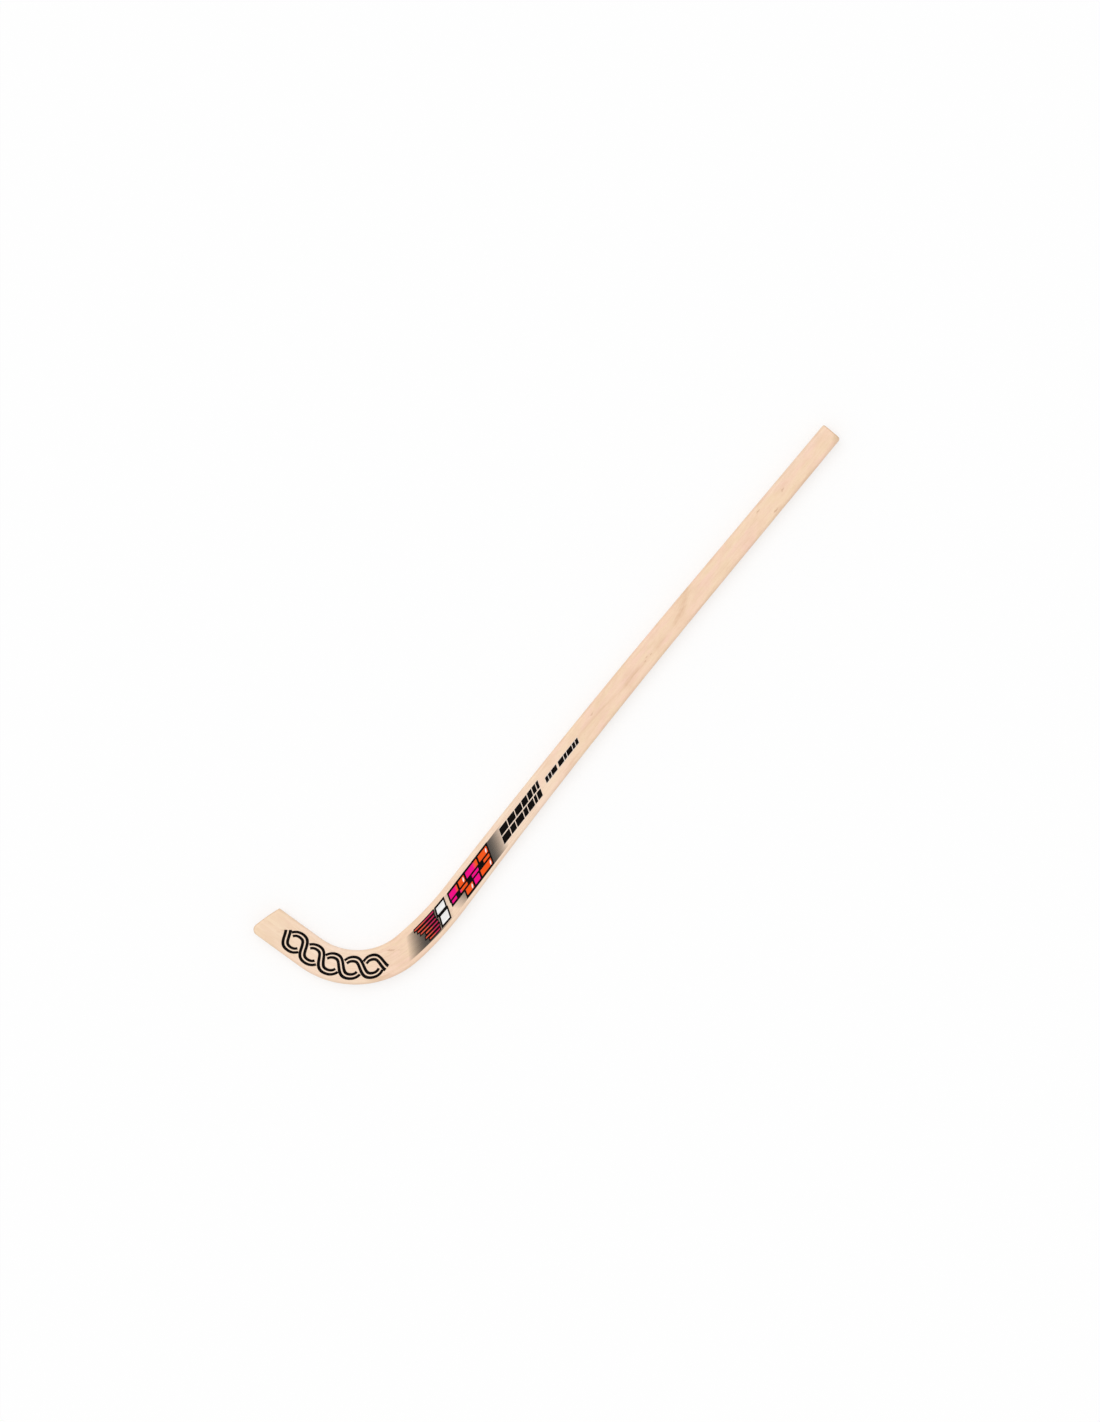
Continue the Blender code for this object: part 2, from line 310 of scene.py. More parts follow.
def unrolled(s, u, z, quads, ways):
    """Flat map of a lattice's skin, in real size, as one (x, y) for each corner of each quad.

    The four long sides are unrolled one after the other from the lower inner edge, and folded into rows of
    about the same length. A strip above them holds the end faces, and the walls of the kerfs squeezed small.
    """
    station, column, level = np.unravel_index(quads, s.shape)
    last_station, last_column, last_level = (count - 1 for count in s.shape)
    at_s, at_u, at_z = (values[station, column, level] for values in (s, u, z))
    section = np.stack([u, z], axis=-1)
    up_in, up_out = along(section[:, 0], 1), along(section[:, -1], 1)
    over, under = along(section[:, :, -1], 1), along(section[:, :, 0], 1)
    top_start = up_in[:, -1]
    low_start = top_start + over[:, -1] + up_out[:, -1]
    girth = low_start + under[:, -1]
    line = s[:, 0, 0]
    starts = line[0] + (line[-1] - line[0]) * np.arange(MAP_ROWS) / MAP_ROWS
    folds = np.abs(line - starts[:, None]).argmin(axis=1)
    row = np.searchsorted(folds, station.min(axis=1), side="right") - 1
    ends = [*folds[1:], last_station]
    tall = [girth[first:last + 1].max() + MAP_GAP for first, last in zip(folds, ends)]
    floor = np.concatenate([[0.0], np.cumsum(tall)])
    x = at_s - line[folds[row]][:, None]
    y = np.repeat(floor[row][:, None], 4, axis=1)
    hidden = np.ones(len(quads), bool)
    sides = ((2, column == 0, up_in[station, level]),
             (5, level == last_level, top_start[station] + over[station, column]),
             (3, column == last_column, low_start[station] - up_out[station, level]),
             (4, level == 0, girth[station] - under[station, column]))
    for way, edge, height in sides:
        face = (ways == way) & edge.all(axis=1)
        y[face] += height[face]
        hidden &= ~face
    strip, shelf = floor[-1], 0.0
    for end, way in ((0, 0), (last_station, 1)):
        face = (ways == way) & (station == end).all(axis=1)
        wide = along(np.stack([s[end], u[end]], axis=-1)[:, s.shape[2] // 2], 0)
        tall = along(np.stack([s[end], z[end]], axis=-1), 1)
        tall += (tall[:, -1].max() - tall[:, -1:]) / 2
        x[face] = shelf + wide[column[face]]
        y[face] = strip + tall[column[face], level[face]]
        shelf += wide[-1] + MAP_GAP
        hidden &= ~face
    wall, root = hidden & (ways // 2 == 1), hidden & (ways // 2 == 0)
    slot = np.searchsorted(np.unique(column[wall]), column[wall])
    x[wall] = shelf + (at_s[wall] - FIRST_ROOT) * WALL_SQUEEZE[0]
    y[wall] = strip + slot * MAP_GAP + at_z[wall] * WALL_SQUEEZE[1]
    x[root] = shelf + WALL_SHELF + MAP_GAP + at_u[root] + BLADE_DEPTH / 2
    y[root] = strip + at_z[root]
    flat = np.stack([x, y], axis=-1)
    flat -= flat.reshape(-1, 2).min(axis=0)
    return flat / (flat.max() * (1 + 2 * MAP_MARGIN)) + MAP_MARGIN


def add_mesh(name, points, quads, layers=None, corner_map=None, smooth=None):
    """Object of a mesh made of points and quads, at the origin, with values kept on its points.

    Points that no quad uses are left out.
    """
    used, numbers = np.unique(quads, return_inverse=True)
    mesh = bpy.data.meshes.new(name)
    mesh.vertices.add(len(used))
    mesh.vertices.foreach_set("co", points[used].astype(np.float32).ravel())
    mesh.loops.add(quads.size)
    mesh.loops.foreach_set("vertex_index", numbers.astype(np.int32).ravel())
    mesh.polygons.add(len(quads))
    mesh.polygons.foreach_set("loop_start", np.arange(0, quads.size, 4, dtype=np.int32))
    for layer, values in (layers or {}).items():
        values = values[used].astype(np.float32)
        kind, field = ("FLOAT_VECTOR", "vector") if values.ndim == 2 else ("FLOAT", "value")
        mesh.attributes.new(layer, kind, "POINT").data.foreach_set(field, values.ravel())
    if corner_map is not None:
        uv = mesh.uv_layers.new(name="OFBake")
        uv.uv.foreach_set("vector", corner_map.astype(np.float32).ravel())
    mesh.update(calc_edges=True)
    if mesh.validate():
        raise RuntimeError(f"{name} has faces that don't hold together")
    if smooth is None:
        mesh.shade_flat()
    else:
        mesh.shade_smooth()
        mesh.set_sharp_from_angle(angle=smooth)
    piece = bpy.data.objects.new(name, mesh)
    bpy.context.scene.collection.objects.link(piece)
    return piece


def listed(s, u, z):
    """A lattice's places as one list of points."""
    return np.stack([s, u, z], axis=-1).reshape(-1, 3)


def all_solid(lattice):
    """Cells between the points of a lattice, all of them solid."""
    return np.ones([n - 1 for n in lattice.shape], bool)


def add_bodies(name, bodies, layers, smooth=None):
    """Object of several closed bodies, each given as a lattice (s, u, z) and its solid cells."""
    points, quads, where, count = [], [], [], 0
    for s, u, z, solid in bodies:
        points.append(place(s, u, z).reshape(-1, 3))
        where.append(listed(s, u, z))
        quads.append(skin(solid)[0] + count)
        count += s.size
    layers["place"] = np.concatenate(where)
    return add_mesh(name, np.concatenate(points), np.concatenate(quads), layers, None, smooth)


def finish_piece(piece, material, nodes=()):
    """Gives a piece its material, hangs it from the root body and hides the frame's parts that it stands for.
    """
    piece.data.materials.append(material)
    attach(piece, "root")
    if nodes:
        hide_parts(*nodes)


# Wood: blank, laminae and glue

def edge_radius(s, shape):
    """Radius of the four long edges, which changes evenly from the butt to the toe."""
    share = np.clip(s / LENGTH, 0.0, 1.0)
    return shape.handle_edge_radius + (shape.blade_edge_radius - shape.handle_edge_radius) * share


def blank_stations():
    """Stations of the blank up to where the toe's shape begins, through every kerf's root."""
    butt = np.concatenate([quarter(BUTT_OUTER_RADIUS, CORNER_CELLS), quarter(BUTT_FACE_RADIUS, EDGE_CELLS)])
    second_root = FIRST_ROOT + KERF_STAGGER
    spans = ((BUTT_OUTER_RADIUS, FIRST_ROOT, HANDLE_STEP), (FIRST_ROOT, second_root, KERF_STEP),
             (second_root, LENGTH - TOE_ZONE, KERF_STEP))
    runs = [np.linspace(start, end, math.ceil((end - start) / step) + 1) for start, end, step in spans]
    return np.unique(np.concatenate([butt] + runs).round(7))


def blank_lattice(shape):
    """Lattice (s, u, z) of the blank, its solid cells and how far each column is into a rounded edge.

    Across the face lie a rounded edge, tongues with a kerf between each two, and a rounded edge. In an edge
    the columns follow a quarter circle of angle t: u lies sin t radii outside the flat part and both faces
    draw in by 1 - cos t radii. Before the kerfs the columns keep the shares of the flat part that they have
    at the first root.
    """
    s = blank_stations()
    s = np.concatenate([s, np.full(TOE_CELLS, s[-1])])
    half, radius = depth(s) / 2 - TRIM, edge_radius(s, shape)
    flat_inner = eased(BUTT_INNER_RADIUS, s) - half + radius
    flat_outer = half - eased(BUTT_OUTER_RADIUS, s) - radius
    at = np.maximum(s, FIRST_ROOT)
    flat_half = depth(at) / 2 - TRIM - edge_radius(at, shape)
    reach = shape.lamina_thickness / 2 + shape.glue_gap
    knots = [-flat_half]
    for number in range(1, LAMINA_COUNT + 1):
        knots += [kerf_line(number, at) - reach, kerf_line(number, at) + reach]
    shares = (np.stack(knots + [flat_half], axis=1) / flat_half[:, None] + 1) / 2
    knots = flat_inner[:, None] + shares * (flat_outer - flat_inner)[:, None]
    cells = np.linspace(0.0, 1.0, TONGUE_CELLS + 1)
    tongues = knots[:, 0::2, None] + (knots[:, 1::2] - knots[:, 0::2])[:, :, None] * cells
    angle = np.linspace(math.pi / 2, 0.0, CORNER_CELLS + 1)[:-1]
    inner = flat_inner[:, None] - radius[:, None] * np.sin(angle)
    outer = flat_outer[:, None] + radius[:, None] * np.sin(angle[::-1])
    u = np.concatenate([inner, tongues.reshape(len(s), -1), outer], axis=1)
    angles = np.concatenate([angle, np.zeros(tongues[0].size), angle[::-1]])
    low = eased(BUTT_FACE_RADIUS, s)[:, None] + radius[:, None] * (1 - np.cos(angles))
    shares = row_shares()
    z = low[:, :, None] + (CAD_THICKNESS - 2 * low)[:, :, None] * shares
    u = np.repeat(u[:, :, None], len(shares), axis=2)
    s = np.broadcast_to(s[:, None, None], u.shape).copy()
    run_to_toe(s, u, z)
    solid = all_solid(u)
    for number in range(1, LAMINA_COUNT + 1):
        column = CORNER_CELLS + (TONGUE_CELLS + 1) * number - 1
        first = int(np.searchsorted(s[:-TOE_CELLS, 0, 0], kerf_root(number) - 1e-6))
        solid[first:, column] = False
    worn = np.broadcast_to(np.sin(2 * angles)[None, :, None], u.shape)
    return s, u, z, solid, worn


def strip_lattice(number, first_steps, columns, low=0.0, back=0.0):
    """Lattice of straight-sided strips that lie in a kerf, in columns at fixed distances from its line.

    The strips start at steps from the kerf's root and run to the toe, less the distance back, with their
    faces drawn in by the height low.
    """
    end = LENGTH - TOE_ZONE
    s = kerf_root(number) + np.array(first_steps)
    s = np.concatenate([s, np.linspace(s[-1], end, math.ceil((end - s[-1]) / KERF_STEP) + 1)[1:]])
    s = np.concatenate([s, np.full(TOE_CELLS, end)])
    u = kerf_line(number, s)[:, None] + np.array(columns)
    z = low + row_shares() * (CAD_THICKNESS - 2 * low)
    s, u, z = (values.copy() for values in np.broadcast_arrays(s[:, None, None], u[:, :, None], z))
    run_to_toe(s, u, z, back)
    return s, u, z


def end_grain(s, u):
    """How far a point belongs to an end face: 1 on it, fading to 0 a rounded edge's width away."""
    butt = 1 - s / BUTT_FACE_RADIUS
    toe = 1 - (toe_reach(u, CAD_THICKNESS / 2) - s) / TOE_FACE_RADIUS
    return np.clip(np.maximum(butt, toe), 0.0, 1.0)


def add_wood(name, s, u, z, solid, worn):
    """Wooden object with its map and what its material reads: place, end grain and wear of the long edges."""
    quads, ways = skin(solid)
    layers = {"place": listed(s, u, z), "end_grain": end_grain(s, u).ravel(), "worn_edge": worn.ravel()}
    flat = unrolled(s, u, z, quads, ways)
    return add_mesh(name, place(s, u, z).reshape(-1, 3), quads, layers, flat, SMOOTH_ANGLE)


def make_blank(shape, wood, prints):
    """The blank: one bent bar of beech with rounded edges, sawn into tongues from the toe."""
    piece = add_wood("beech_blank", *blank_lattice(shape))
    material = beech_material("beech_blank", wood, prints, marked=True)
    finish_piece(piece, material, ["shaft_blank"])


def make_lamina(number, shape, wood, prints):
    """One lamina: a thin strip of beech that fills its kerf between two lines of glue, flush all round."""
    half = shape.lamina_thickness / 2
    s, u, z = strip_lattice(number, [shape.glue_gap], (-half, 0.0, half))
    piece = add_wood(f"lamina_{number}", s, u, z, all_solid(u), np.zeros(u.shape))
    shade = wood.lamina_shade * LAMINA_SHADES[number - 1]
    wander = [step * number for step in GRAIN_STEP]
    material = beech_material(f"beech_lamina_{number}", wood, prints, shade, wander)
    finish_piece(piece, material, [f"blade_lamina_{number}"])


def make_glue(shape, wood, prints):
    """Glue in the gaps beside and behind each lamina, a hair below both faces."""
    low, half = shape.glue_depth, shape.lamina_thickness / 2
    inner, outer = half + GLUE_SLACK, half + shape.glue_gap - GLUE_SLACK
    steps, columns = (GLUE_SLACK, shape.glue_gap - GLUE_SLACK), (-outer, -inner, inner, outer)
    bodies = []
    for number in range(1, LAMINA_COUNT + 1):
        s, u, z = strip_lattice(number, steps, columns, low, low)
        solid = all_solid(u)
        solid[1:, 1] = False
        bodies.append((s, u, z, solid))
    finish_piece(add_bodies("glue_lines", bodies, {}, SMOOTH_ANGLE), glue_material(wood, prints))


# Prints: thin plates and bands on the upper face, drawn in millimetres

class Ink:
    """Collects the shapes of one printed layer, each a closed body a few hundredths of a millimetre thick.

    x runs along the stick from the butt and y across it. The layer's slant is how far a point moves along the
    stick for each millimetre across it.
    """

    def __init__(self, layer, slant=SLANT):
        self.layer, self.slant, self.bodies, self.tints = layer, slant, [], []

    def add(self, x, y, tint=0.0):
        """Adds a grid of (x, y) points, from just inside the wood up to the layer's height.

        Each shape is a hair higher than the one before, so that two which overlap don't share a plane.
        """
        s, u = (x + self.slant * y) / 1000.0, y / 1000.0
        z = CAD_THICKNESS + np.array([-SUNK, self.layer + LAYER_STEP * len(self.bodies)])
        s, u, z = np.broadcast_arrays(s[:, :, None], u[:, :, None], z)
        self.bodies.append((s, u, z, all_solid(s)))
        self.tints.append(np.broadcast_to(tint, s.shape).ravel())

    def brick(self, start, width, low, high, grow=0.0, tints=(0.0, 0.0)):
        """Leaning brick with upright ends in slanted coordinates, grown by the same amount all round."""
        x = np.linspace(start - grow, start + width + grow, max(2, int(width / BRICK_STEP)) + 1)
        y = np.linspace(low - grow, high + grow, BRICK_POINTS)
        self.add(*np.meshgrid(x, y, indexing="ij"), np.linspace(*tints, len(x))[:, None, None])

    def band(self, path, offset, width):
        """Band along a path of (x, y) points: a cross line at each, square to the path, moved by the offset.

        The width may be one number or one for each point.
        """
        run = np.gradient(path, axis=0)
        run /= np.linalg.norm(run, axis=1)[:, None]
        across = np.stack([-run[:, 1], run[:, 0]], axis=1)
        half = np.broadcast_to(np.asarray(width) / 2, len(path))
        edges = np.stack([offset - half, offset + half], axis=1)
        lines = path[:, None, :] + across[:, None, :] * edges[:, :, None]
        self.add(lines[:, :, 0], lines[:, :, 1])

    def make(self, name, node, *inks, slot=None):
        """Turns the shapes into one piece, in one ink or in two that run into each other."""
        piece = add_bodies(name, self.bodies, {"tint": np.concatenate(self.tints)})
        finish_piece(piece, ink_material(name, *inks), [node])


def framed(back, front, rim, *brick, tints=(0.0, 0.0)):
    """A brick in one ink on one in another, which is wider by the rim all round."""
    back.brick(*brick, rim)
    front.brick(*brick, tints=tints)


def wave(start, end, middle, swing, period, tail):
    """Path of a wave with flattened crests, through the middle at the start and a tail past both ends.

    y swings as the hyperbolic tangent of the flatness times a sine of x.
    """
    x = np.linspace(start - tail, end + tail, int((end - start) / period * WAVE_POINTS) + 1)
    flattened = np.tanh(CREST_FLATNESS * np.sin(2 * math.pi * (x - start) / period))
    return np.stack([x, middle + swing * flattened / math.tanh(CREST_FLATNESS)], axis=1)


def uncovered(path, other, crossings, reach):
    """Stretches of a path that stay further than the reach from another one that crosses over it.

    The end of the path beyond its last crossing is left out as well.
    """
    gap = np.linalg.norm(path[:, None] - other[None], axis=2).min(axis=1)
    near = np.abs(path[:, None, 0] - np.array(crossings)).min(axis=1) < CROSSING_SPAN * reach
    kept = ~near | (gap > reach)
    parts = np.split(np.arange(len(path)), np.flatnonzero(np.diff(kept.astype(int))) + 1)
    return [path[part] for part in parts if kept[part[0]] and np.ptp(path[part, 0]) > reach]


def make_blade_print(prints):
    """Blade: a leaning braid of two strands, each a double line, that pass over and under each other."""
    start, end, middle, swing, eyes, tail, clear = 887.5, 1020.5, 0.5, 11.2, 5, 4.5, 0.9
    stroke, gap = prints.stroke * 1000, prints.stroke_gap * 1000
    eye = (end - start) / eyes
    crossings = [start + eye * number for number in range(eyes + 1)]
    strands = [wave(start, end, middle, way * swing, 2 * eye, tail) for way in (1, -1)]
    ink = Ink(BLACK_LAYER, BRAID_SLANT)
    for number, path in enumerate(strands):
        for part in uncovered(path, strands[1 - number], crossings[number::2], stroke + gap / 2 + clear):
            for way in (-1, 1):
                ink.band(part, way * (stroke + gap) / 2, stroke)
    ink.make("blade_print", "blade_transfer", prints.black, slot="print_black")


# Panel's rows of bright bricks: limits across the face, then each brick's start, width and tint at both ends
BRIGHT_ROWS = (
    (-8.9, -2.6, ((691.4, 17.6, 1.2, 1.0), (712.2, 23.0, 0.75, -0.2), (738.4, 11.6, 1.2, 1.0),
                  (753.2, 15.8, 0.65, -0.2))),
    (-0.4, 2.5, ((691.4, 11.6, 1.2, 1.2), (714.0, 13.0, 0.1, -0.2), (737.0, 14.2, 1.2, 0.4),
                 (759.0, 9.0, 0.0, -0.2))),
    (4.7, 10.9, ((691.4, 21.0, 1.2, 0.6), (715.6, 10.4, 0.2, -0.2), (729.2, 13.6, 1.2, 0.7))),
)

# Glints on them: start of each, points in one, step from point to point, least width and swell
GLINT_POINTS = 11
GLINTS = ((693.6, -8.0), (693.2, 6.0), (740.4, -8.0), (731.0, 6.0))
GLINT_STEP = (0.1, 0.48)
GLINT_WIDTH = (0.3, 2.1)

# White bricks: start, width and limits across the face. Stripes: start and width of each, and their places
WHITE_BRICKS = ((780.0, 14.6, -10.0, -2.8), (778.8, 12.8, 1.0, 10.2))
STRIPES = ((800.0, 35.0), (800.6, 30.0), (799.4, 27.5), (797.4, 21.5), (796.2, 24.5), (797.0, 18.0))
STRIPE_START, STRIPE_STEP, STRIPE_RIM = -10.9, 4.15, 0.6


def make_panel_print(prints):
    """Panel: leaning bricks in rows, bright ones, then white ones, then thin stripes, in black outlines."""
    line = prints.outline * 1000
    black, colour, stripes, white = (Ink(layer) for layer in (BLACK_LAYER, *[COLOUR_LAYER] * 3))
    glint = Ink(WHITE_LAYER)
    for low, high, bricks in BRIGHT_ROWS:
        first, (last, width) = bricks[0][0], bricks[-1][:2]
        black.brick(first, last + width - first, low, high, line)
        for start, width, *tints in bricks:
            colour.brick(start, width, low, high, tints=tints)
    swell = np.sin(np.linspace(0.1, 3.0, GLINT_POINTS))
    for start in GLINTS:
        path = np.array(start) + np.arange(GLINT_POINTS)[:, None] * GLINT_STEP
        glint.band(path, 0.0, GLINT_WIDTH[0] + GLINT_WIDTH[1] * swell)
    for brick in WHITE_BRICKS:
        framed(black, white, line, *brick)
    for number, (start, width) in enumerate(STRIPES):
        low = STRIPE_START + STRIPE_STEP * number
        high = low + prints.stripe * 1000
        framed(black, stripes, line * STRIPE_RIM, start, width, low, high, tints=(0.0, 1.0))
    black.make("panel_outline", "panel_transfer", prints.black, slot="print_black")
    colour.make("panel_bricks", "panel_transfer", prints.magenta, prints.orange, slot="print_colour")
    stripes.make("panel_stripes", "panel_transfer", prints.red, prints.coral, slot="print_colour")
    white.make("panel_white", "panel_transfer", prints.white)
    glint.make("panel_glints", "panel_transfer", prints.white)


# Black prints: gap between bricks and share of the full rim, then each row's start, widths and limits across
# the face
BLACK_PRINTS = {
    "bar": (1.3, 0.5, ((585.4, (4.5, 6.5, 8.5, 10.5, 12.5, 14.0, 15.0), -8.8, -0.8),
                       (585.4, (8.0, 5.0, 11.5, 7.5, 14.5, 10.0, 15.0), 0.5, 8.6))),
    "tick": (1.1, 1.0, ((508.0, (5.0, 5.0, 10.2, 5.0, 10.2), -3.05, 3.05),
                        (551.4, (10.2, 5.0, 5.0), -3.05, 3.05))),
}


def make_black_print(name, prints):
    """Black bricks on pale rims: two rows of bold bars that dwindle towards the butt, or small ticks."""
    gap, share, rows = BLACK_PRINTS[name]
    pale, black = Ink(UNDERLAY_LAYER), Ink(BLACK_LAYER)
    for start, widths, low, high in rows:
        for width in widths:
            framed(pale, black, prints.underlay * 1000 * share, start, width, low, high)
            start += width + gap
    pale.make(f"{name}_underlay", f"{name}_transfer", prints.pale)
    black.make(f"{name}_print", f"{name}_transfer", prints.black, slot="print_black")


# Materials, which work in millimetres

class Value:
    """Output of a node. Arithmetic with it adds the nodes that do the same."""

    def __init__(self, nodes, socket):
        self.nodes, self.socket = nodes, socket

    def __add__(self, other):
        return self.nodes.math("ADD", self, other)

    def __sub__(self, other):
        return self.nodes.math("SUBTRACT", self, other)

    def __rsub__(self, other):
        return self.nodes.math("SUBTRACT", other, self)

    def __mul__(self, other):
        return self.nodes.math("MULTIPLY", self, other)

    def __truediv__(self, other):
        return self.nodes.math("DIVIDE", self, other)

    def twin(self, name):
        """Another output of the same node."""
        return Value(self.nodes, self.socket.node.outputs[name])


class Nodes:
    """Adds nodes to a material or world. What an input is given is a constant or another node's output."""

    def __init__(self, owner):
        owner.use_nodes = True
        self.owner, self.tree = owner, owner.node_tree
        self.tree.nodes.clear()

    def add(self, kind, inputs, output=0, **settings):
        node = self.tree.nodes.new(kind)
        for key, value in settings.items():
            setattr(node, key, value)
        for key, value in inputs.items():
            if isinstance(value, Value):
                self.tree.links.new(value.socket, node.inputs[key])
            else:
                node.inputs[key].default_value = value
        return Value(self, node.outputs[output]) if node.outputs else None

    def attribute(self, name, output="Fac"):
        return self.add("ShaderNodeAttribute", {}, output, attribute_type="GEOMETRY", attribute_name=name)

    def place(self):
        """Place on the stick, in millimetres."""
        return self.vector("MULTIPLY", self.attribute("place", "Vector"), (1000.0, 1000.0, 1000.0))

    def math(self, operation, *values):
        return self.add("ShaderNodeMath", dict(enumerate(values)), operation=operation)

    def vector(self, operation, *values, output=0):
        return self.add("ShaderNodeVectorMath", dict(enumerate(values)), output, operation=operation)

    def parts(self, vector):
        """The three numbers of a vector."""
        first = self.add("ShaderNodeSeparateXYZ", {0: vector})
        return first, first.twin("Y"), first.twin("Z")

    def ramp(self, value, start, end):
        """Straight ramp from 0 where a value is at the start to 1 where it is at the end."""
        return self.add("ShaderNodeMapRange", {"Value": value, "From Min": start, "From Max": end})

    def span(self, value, start, end, low=0.0, high=1.0):
        """Smooth step of a value between start and end, from low to high."""
        inputs = {"Value": value, "From Min": start, "From Max": end, "To Min": low, "To Max": high}
        return self.add("ShaderNodeMapRange", inputs, interpolation_type="SMOOTHSTEP")

    def noise(self, place, sizes, detail=2.0, roughness=0.5, shift=(0.0, 0.0, 0.0)):
        """Noise of about 0 to 1 whose lumps have the given sizes along s, u and z."""
        scaled = self.vector("MULTIPLY_ADD", place, [1.0 / size for size in sizes], shift)
        inputs = {"Vector": scaled, "Scale": 1.0, "Detail": detail, "Roughness": roughness}
        return self.add("ShaderNodeTexNoise", inputs)

    def blend(self, share, first, second):
        """Colour between two: the first where the share is 0, the second where it is 1."""
        first, second = (end if isinstance(end, Value) else (*end, 1.0) for end in (first, second))
        return self.add("ShaderNodeMix", {0: share, 6: first, 7: second}, 2, data_type="RGBA")

    def spot(self, place, s, u, long, wide, turn, strength, deep=6.0):
        """Soft spot of the upper face: its strength at (s, u), falling to 0 on a turned ellipsoid."""
        inputs = {"Vector": place, "Location": (s, u, UPPER_FACE), "Rotation": (0.0, 0.0, math.radians(turn)),
                  "Scale": (long, wide, deep)}
        local = self.add("ShaderNodeMapping", inputs, vector_type="TEXTURE")
        return self.span(self.vector("LENGTH", local, output="Value"), 0.15, 1.0, strength, 0.0)

    def drawn(self, value, table):
        """Smooth curve through a table of (value, result)."""
        at, results = np.array(table).T
        low, high = results.min(), results.max()
        curve = self.add("ShaderNodeFloatCurve", {"Factor": 1.0, "Value": self.ramp(value, at[0], at[-1])})
        mapping = curve.socket.node.mapping
        line = mapping.curves[0]
        spots = np.stack([(at - at[0]) / (at[-1] - at[0]), (results - low) / (high - low)], axis=1)
        line.points[0].location, line.points[1].location = spots[0], spots[-1]
        for spot in spots[1:-1]:
            line.points.new(*spot)
        mapping.update()
        return curve * (high - low) + low

    def finish(self, colour, roughness, height, depth, coat, gloss):
        """Surface with this colour, roughness, lacquer and gloss, raised by the height times the depth."""
        bump = self.add("ShaderNodeBump", {"Strength": 1.0, "Distance": depth, "Height": height})
        shader = self.add("ShaderNodeBsdfPrincipled", {
            "Base Color": colour, "Roughness": roughness, "Normal": bump,
            "Coat Weight": coat, "Coat Roughness": COAT_ROUGHNESS, "Specular IOR Level": gloss,
        })
        self.add("ShaderNodeOutputMaterial", {"Surface": shader})
        return self.owner


# Height of the upper face in millimetres, relief of the surfaces in metres, and finish of lacquer and ink
UPPER_FACE = CAD_THICKNESS * 1000
WOOD_RELIEF, GLUE_RELIEF, INK_RELIEF = 0.00008, 0.00004, 0.00003
COAT_ROUGHNESS = 0.28
INK_GLOSS = 0.03

# Growth rings, in millimetres: how far across and below the pith lies at the butt, how it leans from there,
# and how far a slow noise bends the rings
PITH = (52.0, 46.0)
PITH_LEAN = (-0.030, 0.012)
WOBBLE = 14.0

# Dark flame of the grain on the upper face, by the distance from the butt in millimetres: how far across it
# lies, its half width and its strength
FLAME_LINE = ((262, -16), (273, -12.9), (282, -8.9), (291, -4.3), (300, -0.9), (309, 0.9), (318, 2.5),
              (330, 3.3), (345, 3.5), (357, 4.0), (370, 3.1), (382, 3.5), (394, 2.6), (408, 3.1), (421, 3.6),
              (436, 1.1), (453, -0.9), (471, -1.9), (488, -2.7), (508, -1.6))
FLAME_WIDTH = ((262, 3.4), (285, 3.4), (305, 2.6), (320, 1.8), (350, 1.6), (385, 1.6), (400, 2.0), (415, 1.8),
               (440, 1.2), (508, 1.1))
FLAME_STRENGTH = ((262, 0.0), (270, 0.55), (284, 0.9), (302, 1.0), (316, 0.75), (326, 0.35), (338, 0.5),
                  (350, 0.75), (358, 0.4), (372, 0.5), (384, 0.6), (394, 1.0), (412, 0.95), (424, 0.45),
                  (440, 0.3), (452, 0.7), (470, 0.8), (484, 0.6), (498, 0.45), (508, 0.0))
FLAME_LEAN = 0.7

# Small knots and checks of the upper face: place, half length and half width in millimetres, turn in degrees
# and strength
CHECKS = (
    (97.0, -1.2, 4.4, 1.5, 12.0, 0.60),
    (138.5, -7.6, 4.6, 1.2, 6.0, 0.60),
    (123.0, 9.0, 5.5, 1.5, 3.0, 0.70),
    (365.0, 3.2, 2.6, 1.1, 20.0, 0.55),
    (371.0, 1.4, 2.8, 1.2, -15.0, 0.55),
    (376.5, 3.2, 2.4, 1.0, 15.0, 0.50),
    (471.0, -6.8, 3.6, 1.4, 18.0, 0.45),
    (870.0, -10.0, 20.0, 1.3, -27.0, 0.62),
    (1029.0, -2.0, 10.0, 2.6, 48.0, 0.32),
)

# Worn corner at the butt, golden toe and paler stretches, given like the checks, with how deep they go
WORN_CORNER = (1.5, 9.0, 11.0, 6.5, 0.0, 0.55, 16.0)
GOLDEN_TOE = (1046.0, 4.0, 62.0, 46.0, 0.0, 0.55, 46.0)
PALE_STRETCHES = (
    (60.0, -14.0, 110.0, 11.0, 0.0, 0.35, 30.0),
    (675.0, 0.0, 200.0, 80.0, 0.0, 0.66, 60.0),
    (955.0, 0.0, 105.0, 80.0, 0.0, 0.66, 60.0),
    (1046.0, 4.0, 62.0, 46.0, 0.0, 0.25, 46.0),
)

# Wider browned patches near the edges, given like the checks
PATCHES = (
    (118.0, 10.5, 9.0, 3.5, 0.0, 0.35),
    (531.0, 11.5, 24.0, 2.6, 0.0, 0.45),
    (894.0, 16.6, 19.0, 4.8, 0.0, 0.75),
    (403.0, -3.0, 17.0, 6.5, 0.0, 0.30),
    (560.0, -12.5, 14.0, 2.2, 0.0, 0.30),
)

# Panel's printed ground in its own slanted coordinates: ends, length of the fade at each, where the cover is
# nothing and where it is full on the diagonal and on the growth after it, limits across the face, and how far
# single lines stand out
PANEL_BUTT, PANEL_TOE = 658.6, 850.6
PANEL_FADE = 32.0
PANEL_DIAGONAL = (774.0, 745.0)
PANEL_GROWTH = (771.0, 801.0)
PANEL_INNER, PANEL_OUTER = (-7.95, -7.45), (8.6, 9.1)
SCREEN_CONTRAST = 0.45


